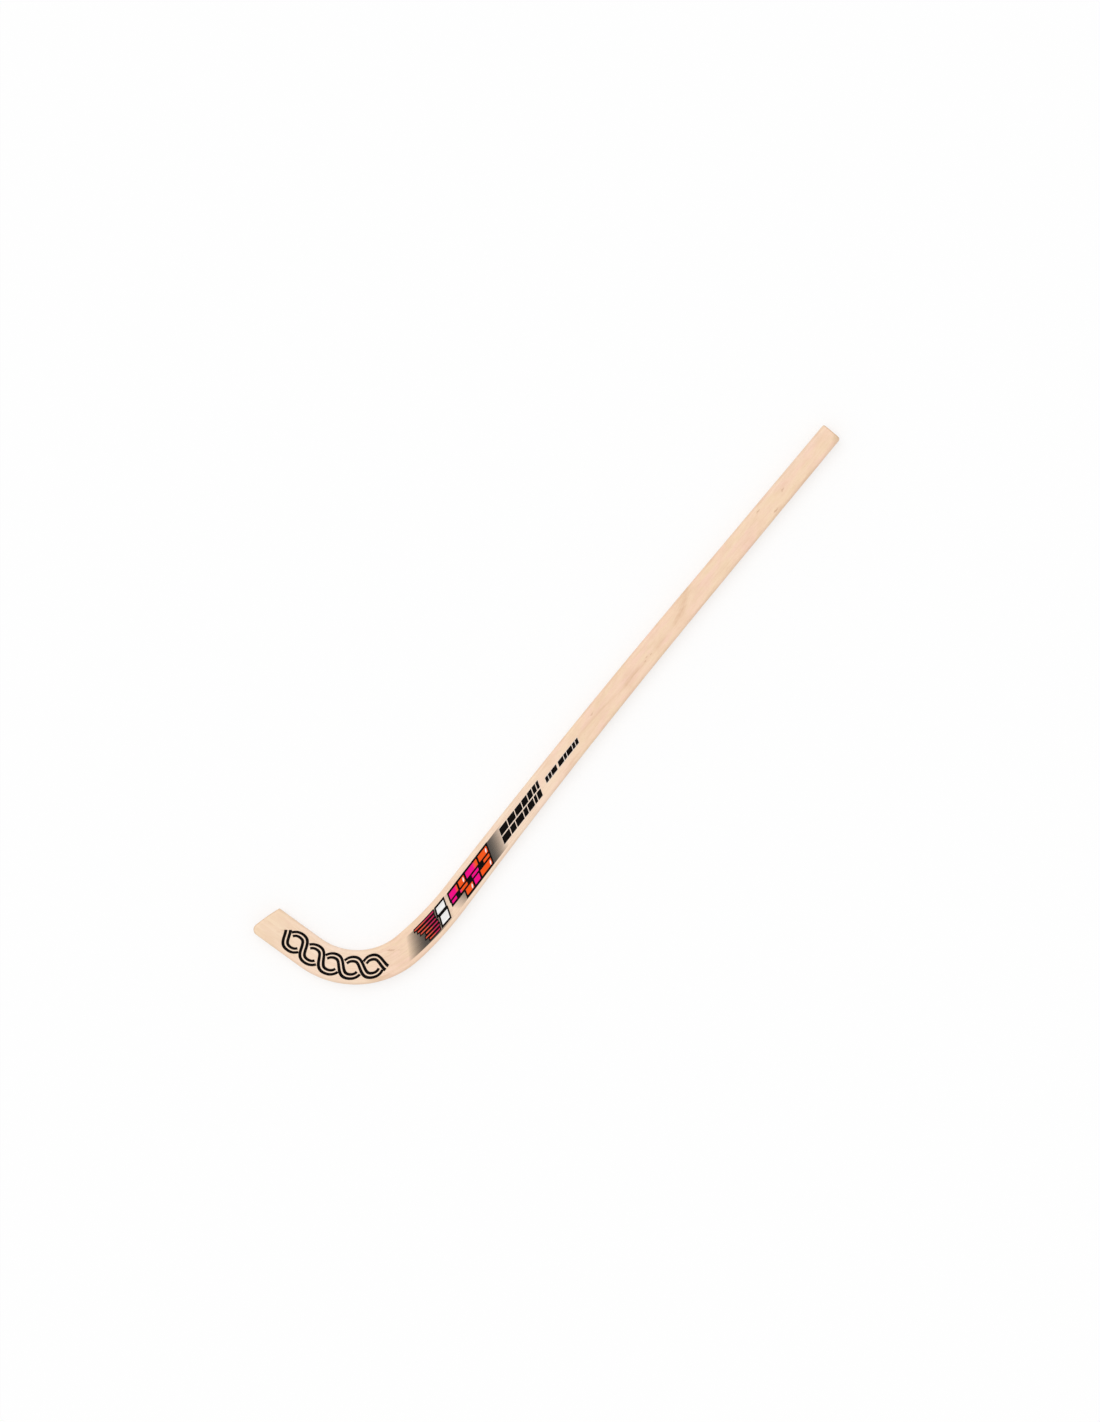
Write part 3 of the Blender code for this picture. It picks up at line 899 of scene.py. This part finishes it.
def flame(nodes, place, s, u, z, wobble):
    """Dark flame: a soft band about a drawn line, with fainter lines beside it and gaps along it.

    It leans as it goes down the side, and fades out there.
    """
    away = u + wobble * 0.12 - nodes.drawn(s, FLAME_LINE) + (UPPER_FACE - z) * FLAME_LEAN
    near = away / nodes.drawn(s, FLAME_WIDTH)
    core, veil = (nodes.math("EXPONENT", near * near * rate) for rate in (-0.7, -0.12))
    echo = nodes.math("SINE", away * 2.1) * 0.5 + 0.5
    patchy = nodes.span(nodes.noise(place, (11.0, 2.6, 7.0), 3.0, 0.65), 0.34, 0.60, 0.55, 1.0)
    return (core + veil * echo * 0.30) * patchy * nodes.span(z, 5.0, 18.0) * nodes.drawn(s, FLAME_STRENGTH)


def screened(nodes, true_place, colour, prints):
    """Panel's printed ground over a colour: fine slanted lines of black, whose cover varies.

    The cover grows from the butt end, fades to nothing along a long diagonal, grows again and fades at the
    toe end. x is the distance along the stick in the slant's own coordinates, and y the one across it.
    """
    x, y, height = nodes.parts(true_place)
    x = x - y * SLANT
    butt = nodes.ramp(x, PANEL_BUTT + PANEL_FADE, PANEL_BUTT)
    toe = nodes.ramp(x, PANEL_TOE - PANEL_FADE, PANEL_TOE)
    body = nodes.math("MAXIMUM", nodes.ramp(x + y * 0.8, *PANEL_DIAGONAL), nodes.ramp(x, *PANEL_GROWTH))
    cover = (1.0 - butt * butt) * (1.0 - toe * toe) * body
    inside = nodes.span(x, PANEL_BUTT, PANEL_BUTT + 0.8) * nodes.span(x, PANEL_TOE - 1.6, PANEL_TOE, 1.0, 0.0)
    low, high = y + x * 0.0047, y - x * 0.0067
    across = nodes.span(low, *PANEL_INNER) * nodes.span(high, *PANEL_OUTER, 1.0, 0.0)
    upper = nodes.span(height, UPPER_FACE - 0.2, UPPER_FACE - 0.1)
    line = nodes.math("SINE", x * (2 * math.pi / (prints.screen_pitch * 1000)))
    cover = (line * (1.0 - cover) * SCREEN_CONTRAST * cover + cover) * prints.screen_cover
    return nodes.blend(cover * inside * across * upper, colour, prints.screen_black)


def beech_material(name, wood, prints, shade=0.0, wander=(0.0, 0.0, 0.0), marked=False):
    """Pale beech under satin lacquer.

    Growth rings are shells about a leaning pith outside the stick, bent by a slow noise. Fine fibres and
    short ray flecks run along the grain. The shade darkens the whole, the wander takes the grain from another
    part of the log, and marked adds the blank's own flame, knots, stains and worn corner.
    """
    nodes = Nodes(bpy.data.materials.new(name))
    true_place = nodes.place()
    place = nodes.vector("ADD", true_place, wander)
    s, u, z = nodes.parts(place)
    wobble = nodes.noise(place, (95.0, 26.0, 26.0)) * WOBBLE - WOBBLE / 2
    across = u + wobble + (s * PITH_LEAN[0] + PITH[0])
    upward = z + (s * PITH_LEAN[1] + PITH[1])
    reach = nodes.math("SQRT", across * across + upward * upward)
    ring = nodes.math("SINE", reach * (2 * math.pi / (wood.ring_spacing * 1000)))
    faint = nodes.noise(place, (150.0, 14.0, 14.0), 1.0, shift=(7.3, 1.9, 4.1))
    ring = nodes.math("POWER", ring * 0.5 + 0.5, 2.6) * nodes.span(faint, 0.35, 0.68, 0.25, 1.0)
    fibre = nodes.noise(place, (38.0, 0.85, 0.85), 4.0, 0.6, (0.0, 3.7, 1.3))
    fine = nodes.noise(place, (9.0, 0.30, 0.30), 2.0, 0.6, (2.1, 0.0, 5.2))
    cells = nodes.vector("MULTIPLY_ADD", place, (1 / 3.4, 1 / 0.62, 1 / 6.0), fine * 0.8)
    rays = nodes.add("ShaderNodeTexVoronoi", {"Vector": cells, "Scale": 1.0, "Randomness": 1.0}, "Distance")
    chosen = nodes.parts(rays.twin("Color"))[0]
    fleck = nodes.span(rays, 0.16, 0.30, 1.0, 0.0) * nodes.span(chosen, 0.45, 0.65)
    cut = nodes.attribute("end_grain")
    wear = nodes.noise(place, (24.0, 5.0, 5.0), 3.0, 0.6, (5.0, 5.0, 0.0))
    edge = nodes.attribute("worn_edge") * nodes.span(wear, 0.42, 0.66)

    def clouds(sizes, shift, start=0.38, end=0.66, detail=3.0):
        """Share of soft clouds whose lumps have these sizes."""
        return nodes.span(nodes.noise(place, sizes, detail, 0.6, shift), start, end) * wood.mottle

    layers = [
        (clouds((30.0, 12.0, 16.0), (3.0, 8.0, 1.0)), wood.rosy),
        (clouds((38.0, 11.0, 16.0), (9.0, 2.0, 5.0)) * 0.7, wood.golden),
        (nodes.spot(true_place, *GOLDEN_TOE), wood.golden),
        *((nodes.spot(true_place, *stretch), wood.pale) for stretch in PALE_STRETCHES),
        (clouds((26.0, 9.0, 12.0), (1.0, 6.0, 7.0), 0.40, 0.68) * 0.30, wood.dark),
        (clouds((8.0, 2.2, 2.2), (4.0, 4.0, 2.0), 0.42, 0.70, 2.0) * 0.16, wood.dark),
        (nodes.span(fibre, 0.58, 0.30) * wood.fibre_contrast, wood.pale),
        (ring * wood.ring_contrast, wood.dark),
        (nodes.span(fibre, 0.50, 0.74) * wood.fibre_contrast, wood.dark),
        (fleck * wood.fleck_contrast, wood.fleck),
    ]
    if marked:
        swirl = nodes.add("ShaderNodeTexNoise", {"Vector": place, "Scale": 0.35, "Detail": 2.0}, "Color")
        swirl = nodes.vector("SUBTRACT", swirl, (0.5, 0.5, 0.5))
        ragged = nodes.vector("MULTIPLY_ADD", swirl, (7.0, 3.0, 4.0), place)
        layers += [
            (flame(nodes, place, s, u, z, wobble) * wood.flame_contrast, wood.dark),
            *((nodes.spot(ragged, *check), wood.fleck) for check in CHECKS),
            *((nodes.spot(ragged, *patch), wood.dark) for patch in PATCHES),
            (nodes.spot(ragged, *WORN_CORNER), wood.worn),
        ]
    layers += [
        (cut * nodes.span(fine, 0.3, 0.7, 0.55, 0.95), wood.end),
        (cut * ring * 0.45, wood.fleck),
        (edge * wood.edge_wear, wood.dark),
        (shade, wood.dark),
    ]
    colour = wood.beech
    for share, over in layers:
        colour = nodes.blend(share, colour, over)
    colour = screened(nodes, true_place, colour, prints)
    rough = fibre * 0.14 + edge * 0.10 + cut * 0.20 + (wood.roughness - 0.07)
    height = fine * 0.35 + fibre * 0.65 + ring * 0.4 - fleck * 0.35
    return nodes.finish(colour, rough, height, WOOD_RELIEF, wood.coat, wood.gloss)


def glue_material(wood, prints):
    """Hardened wood glue: a clear amber film over the pale beech, slightly uneven."""
    nodes = Nodes(bpy.data.materials.new("glue"))
    place = nodes.place()
    uneven = nodes.noise(place, (14.0, 2.0, 2.0), 3.0, 0.6)
    colour = nodes.blend(nodes.span(uneven, 0.35, 0.65, 0.0, 0.5), wood.glue, wood.dark)
    colour = screened(nodes, place, colour, prints)
    return nodes.finish(colour, uneven * 0.2 + 0.30, uneven, GLUE_RELIEF, wood.coat, wood.gloss)


def dimmed(colour, level):
    """A colour's values times a level."""
    return [value * level for value in colour]


def ink_material(name, ink, second=None):
    """Printing ink under lacquer: the fine fibre of the wood shows through as faint changes of tone.

    Two inks run into each other over a short ragged distance, where the tint passes one half.
    """
    nodes = Nodes(bpy.data.materials.new(name))
    place = nodes.place()
    fibre = nodes.noise(place, (30.0, 0.9, 0.9), 3.0, 0.6)
    if second is None:
        lighter = [min(value * 1.04 + 0.004, 1.0) for value in ink]
        colour = nodes.blend(nodes.span(fibre, 0.35, 0.68), dimmed(ink, 0.82), lighter)
        patchy = nodes.noise(place, (18.0, 9.0, 9.0))
        colour = nodes.blend(nodes.span(patchy, 0.40, 0.70, 0.0, 0.5), colour, ink)
    else:
        tint = nodes.attribute("tint") + (nodes.noise(place, (3.0, 3.0, 3.0)) * 0.30 - 0.15)
        share = nodes.span(tint, 0.36, 0.64)
        full, deep = (nodes.blend(share, dimmed(ink, level), dimmed(second, level)) for level in (1.0, 0.85))
        colour = nodes.blend(nodes.span(fibre, 0.40, 0.72, 0.0, 0.6), full, deep)
    return nodes.finish(colour, fibre * 0.14 + 0.30, fibre, INK_RELIEF, 0.0, INK_GLOSS)


# Studio

def seen_directly(nodes):
    """1 for rays that show the background itself: from the camera, in a reflection or through glass."""
    camera = nodes.add("ShaderNodeLightPath", {}, "Is Camera Ray")
    seen = nodes.math("MAXIMUM", camera, camera.twin("Is Glossy Ray"))
    return nodes.math("MAXIMUM", seen, camera.twin("Is Transmission Ray"))


def make_floor(studio):
    """White floor under the stick. It keeps the stick's shadow, softened by some light of its own."""
    steps = np.linspace(-0.5, 0.5, 5) * studio.floor_size
    x, y = np.meshgrid(steps, steps, indexing="ij")
    points = np.stack([x, y, np.full(x.shape, -studio.floor_drop)], axis=-1).reshape(-1, 3)
    number = np.arange(x.size).reshape(x.shape)
    ring = [number[:-1, :-1], number[1:, :-1], number[1:, 1:], number[:-1, 1:]]
    floor = add_mesh("studio_floor", points, np.stack(ring, axis=-1).reshape(-1, 4))
    nodes = Nodes(bpy.data.materials.new("studio_floor"))
    lit = nodes.add("ShaderNodeBsdfDiffuse", {"Color": (1.0, 1.0, 1.0, 1.0)})
    glow = nodes.add("ShaderNodeEmission", {"Color": (1.0, 1.0, 1.0, 1.0), "Strength": 1.0})
    shown = nodes.add("ShaderNodeMixShader", {0: studio.floor_glow, 1: lit, 2: glow})
    grey = nodes.add("ShaderNodeBsdfDiffuse", {"Color": (0.8, 0.8, 0.8, 1.0)})
    surface = nodes.add("ShaderNodeMixShader", {0: seen_directly(nodes), 1: grey, 2: shown})
    nodes.add("ShaderNodeOutputMaterial", {"Surface": surface})
    floor.data.materials.append(nodes.owner)


def make_world(studio):
    """Even light from all round, with a white background for rays that show it."""
    nodes = Nodes(bpy.data.worlds.new("studio"))
    level = studio.fill
    colour = nodes.blend(seen_directly(nodes), (level, level, level), (1.0, 1.0, 1.0))
    sky = nodes.add("ShaderNodeBackground", {"Color": colour, "Strength": 1.0})
    nodes.add("ShaderNodeOutputWorld", {"Surface": sky})
    bpy.context.scene.world = nodes.owner


def make_key_light(studio):
    """Broad soft key light from the upper left of the photograph's view."""
    light = bpy.data.lights.new("key_light", "SUN")
    light.energy = studio.key
    light.angle = studio.key_angle
    lamp = bpy.data.objects.new("key_light", light)
    bpy.context.scene.collection.objects.link(lamp)
    lamp.rotation_euler = (math.pi / 2 - studio.key_height, 0.0, studio.key_turn)
    lamp.location = (0.0, 0.0, 3.0)


def make_camera(studio):
    """Camera straight above the face, turned as in the photograph, whose lens takes in the same height."""
    lens = bpy.data.cameras.new("camera")
    lens.type = "PERSP"
    lens.sensor_width = SENSOR
    lens.lens = SENSOR * studio.camera_distance / VIEW_HEIGHT
    lens.clip_end = 1000.0
    camera = bpy.data.objects.new("camera", lens)
    bpy.context.scene.collection.objects.link(camera)
    camera.location = (*VIEW_CENTRE, CAD_THICKNESS + studio.camera_distance)
    camera.rotation_euler = (0.0, 0.0, VIEW_TURN)
    bpy.context.scene.camera = camera


# Settings

def metres(name, description, default):
    """Float property for a length in metres."""
    return FloatProperty(name=name, description=description, default=default, subtype="DISTANCE",
                         unit="LENGTH", precision=5)


def factor(name, description, default):
    """Float property from 0 to 1."""
    return FloatProperty(name=name, description=description, default=default, min=0.0, max=1.0,
                         subtype="FACTOR")


def degrees(name, description, default):
    """Float property for an angle, whose default is given in degrees and kept in radians."""
    return FloatProperty(name=name, description=description, default=math.radians(default), subtype="ANGLE",
                         unit="ROTATION")


def tone(name, description, default):
    """Colour property, in linear values."""
    return FloatVectorProperty(name=name, description=description, default=default, size=3, min=0.0,
                               max=1.0, subtype="COLOR")


class StickShape(bpy.types.PropertyGroup):
    """Sizes of the wood's details. The outline and the thickness come from the frame."""

    handle_edge_radius: metres("Handle edge", "Radius of the long edges at the butt", 0.0045)
    blade_edge_radius: metres("Blade edge", "Radius of the long edges at the toe", 0.0030)
    lamina_thickness: metres("Lamina", "Thickness of a lamina", 0.0020)
    glue_gap: metres("Glue", "Thickness of the glue on each side of a lamina", 0.0003)
    glue_depth: metres("Glue depth", "How far the glue stays below the faces", 0.00002)


class StickWood(bpy.types.PropertyGroup):
    """Colours and grain of the beech."""

    beech: tone("Beech", "Main colour of the wood", (0.932, 0.668, 0.482))
    pale: tone("Pale", "Colour of the lightest fibres", (0.960, 0.775, 0.620))
    dark: tone("Dark", "Colour of rings, flame and dark fibres", (0.760, 0.500, 0.325))
    rosy: tone("Rosy", "Colour of the rosy clouds", (0.952, 0.645, 0.520))
    golden: tone("Golden", "Colour of the golden clouds", (0.912, 0.706, 0.460))
    fleck: tone("Fleck", "Colour of ray flecks and small knots", (0.560, 0.320, 0.180))
    end: tone("End grain", "Colour of the cut ends", (0.700, 0.455, 0.270))
    worn: tone("Worn", "Colour of the worn corner at the butt", (0.640, 0.490, 0.270))
    glue: tone("Glue", "Colour of the glue lines", (0.880, 0.635, 0.450))
    ring_spacing: metres("Ring spacing", "Distance from one growth ring to the next", 0.0027)
    ring_contrast: factor("Rings", "How strongly the growth rings show", 0.10)
    fibre_contrast: factor("Fibres", "How strongly the fibres show", 0.15)
    fleck_contrast: factor("Flecks", "How strongly the ray flecks show", 0.22)
    flame_contrast: factor("Flame", "How strongly the dark flame shows", 0.80)
    mottle: factor("Clouds", "How strongly the colour clouds show", 0.85)
    edge_wear: factor("Edge wear", "How strongly the long edges are worn", 0.35)
    lamina_shade: factor("Lamina shade", "How much darker the laminae are than the blank", 0.04)
    roughness: factor("Roughness", "Roughness of the lacquered wood", 0.42)
    coat: factor("Lacquer", "Strength of the lacquer's own reflection", 0.12)
    gloss: factor("Gloss", "Strength of the wood's reflection, 0.5 being that of plain resin", 0.35)


class StickPrints(bpy.types.PropertyGroup):
    """Inks and line widths of the prints."""

    black: tone("Black", "Ink of the bold shapes", (0.0022, 0.0009, 0.0006))
    screen_black: tone("Screen", "Ink of the panel's fine lines", (0.0055, 0.0042, 0.0015))
    magenta: tone("Magenta", "First ink of the bright bricks", (0.930, 0.004, 0.250))
    orange: tone("Orange", "Second ink of the bright bricks", (0.950, 0.100, 0.012))
    red: tone("Red", "First ink of the stripes", (0.560, 0.022, 0.095))
    coral: tone("Coral", "Second ink of the stripes", (0.720, 0.095, 0.055))
    white: tone("White", "Ink of the pale shapes", (0.960, 0.955, 0.940))
    pale: tone("Underlay", "Rim under the black bars", (0.905, 0.810, 0.730))
    stroke: metres("Stroke", "Width of each line of the blade's double line", 0.0036)
    stroke_gap: metres("Stroke gap", "Gap between the two lines", 0.0018)
    stripe: metres("Stripe", "Width of each of the panel's thin stripes", 0.00148)
    outline: metres("Outline", "Width of the panel's black outlines", 0.0025)
    underlay: metres("Rim", "How far the underlay shows around the ticks", 0.0005)
    screen_pitch: metres("Screen pitch", "Distance between the panel's fine lines", 0.0016)
    screen_cover: factor("Screen cover", "Share of the ground that the lines cover at most", 0.955)


class StickStudio(bpy.types.PropertyGroup):
    """Light, floor and camera."""

    fill: FloatProperty(name="Fill", description="Brightness of the even light", default=0.776, min=0.0)
    key: FloatProperty(name="Key", description="Strength of the key light", default=0.70, min=0.0,
                       subtype="POWER")
    key_angle: degrees("Key size", "Apparent size of the key light", 50.0)
    key_height: degrees("Key height", "Height of the key light above the floor", 66.0)
    key_turn: degrees("Key turn", "Turn of the key light about the vertical", 174.7)
    floor_size: metres("Floor", "Side of the floor", 60.0)
    floor_drop: metres("Floor drop", "Gap between the floor and the stick", 0.0002)
    floor_glow: factor("Floor glow", "Share of the floor's brightness that is its own light", 0.65)
    camera_distance: metres("Camera", "Distance from the camera to the printed face", 10.0)


# Operators and panel

def wood_settings(scene):
    """What the makers of wood and glue need: the shape's, the wood's and the prints' settings."""
    return scene.stick_shape, scene.stick_wood, scene.stick_prints


class STICK_OT_blank(bpy.types.Operator):
    """Builds the bent beech blank with its kerfs"""

    bl_idname = "stick.blank"
    bl_label = "Beech blank"

    def execute(self, context):
        make_blank(*wood_settings(context.scene))
        return {"FINISHED"}


class STICK_OT_laminae(bpy.types.Operator):
    """Builds the laminae that fill the kerfs"""

    bl_idname = "stick.laminae"
    bl_label = "Laminae"

    def execute(self, context):
        for number in range(1, LAMINA_COUNT + 1):
            make_lamina(number, *wood_settings(context.scene))
        return {"FINISHED"}


class STICK_OT_glue(bpy.types.Operator):
    """Builds the glue lines around the laminae"""

    bl_idname = "stick.glue"
    bl_label = "Glue lines"

    def execute(self, context):
        make_glue(*wood_settings(context.scene))
        return {"FINISHED"}


class STICK_OT_blade_print(bpy.types.Operator):
    """Builds the print on the blade"""

    bl_idname = "stick.blade_print"
    bl_label = "Blade print"

    def execute(self, context):
        make_blade_print(context.scene.stick_prints)
        return {"FINISHED"}


class STICK_OT_panel_print(bpy.types.Operator):
    """Builds the coloured panel above the bend"""

    bl_idname = "stick.panel_print"
    bl_label = "Panel print"

    def execute(self, context):
        make_panel_print(context.scene.stick_prints)
        return {"FINISHED"}


class STICK_OT_bar_print(bpy.types.Operator):
    """Builds the bold bars and the small ticks on the shaft"""

    bl_idname = "stick.bar_print"
    bl_label = "Bar and tick prints"

    def execute(self, context):
        for name in BLACK_PRINTS:
            make_black_print(name, context.scene.stick_prints)
        return {"FINISHED"}


class STICK_OT_stage(bpy.types.Operator):
    """Builds the floor, the light and the camera"""

    bl_idname = "stick.stage"
    bl_label = "Studio"

    def execute(self, context):
        studio = context.scene.stick_studio
        make_floor(studio)
        make_world(studio)
        make_key_light(studio)
        make_camera(studio)
        context.scene.view_settings.view_transform = "Standard"
        return {"FINISHED"}


class STICK_PT_stick(bpy.types.Panel):
    """Lists the stick's operators and settings"""

    bl_label = "Roller hockey stick"
    bl_space_type = "VIEW_3D"
    bl_region_type = "UI"
    bl_category = "Stick"

    def draw(self, context):
        for operator in OPERATORS:
            self.layout.operator(operator.bl_idname)
        for name in SETTINGS:
            group = getattr(context.scene, name)
            box = self.layout.box()
            for key in group.bl_rna.properties.keys():
                if key not in ("rna_type", "name"):
                    box.prop(group, key)


SETTINGS = {"stick_shape": StickShape, "stick_wood": StickWood, "stick_prints": StickPrints,
            "stick_studio": StickStudio}
OPERATORS = (STICK_OT_blank, STICK_OT_laminae, STICK_OT_glue, STICK_OT_blade_print, STICK_OT_panel_print,
             STICK_OT_bar_print, STICK_OT_stage)


def register():
    for group in (*SETTINGS.values(), *OPERATORS, STICK_PT_stick):
        bpy.utils.register_class(group)
    for name, group in SETTINGS.items():
        setattr(bpy.types.Scene, name, PointerProperty(type=group))


def unregister():
    for name in SETTINGS:
        delattr(bpy.types.Scene, name)
    for group in (STICK_PT_stick, *OPERATORS, *SETTINGS.values()):
        bpy.utils.unregister_class(group)


def main():
    register()
    bpy.ops.stick.blank()
    bpy.ops.stick.laminae()
    bpy.ops.stick.glue()
    bpy.ops.stick.blade_print()
    bpy.ops.stick.panel_print()
    bpy.ops.stick.bar_print()
    bpy.ops.stick.stage()


if __name__ == "__main__":
    main()
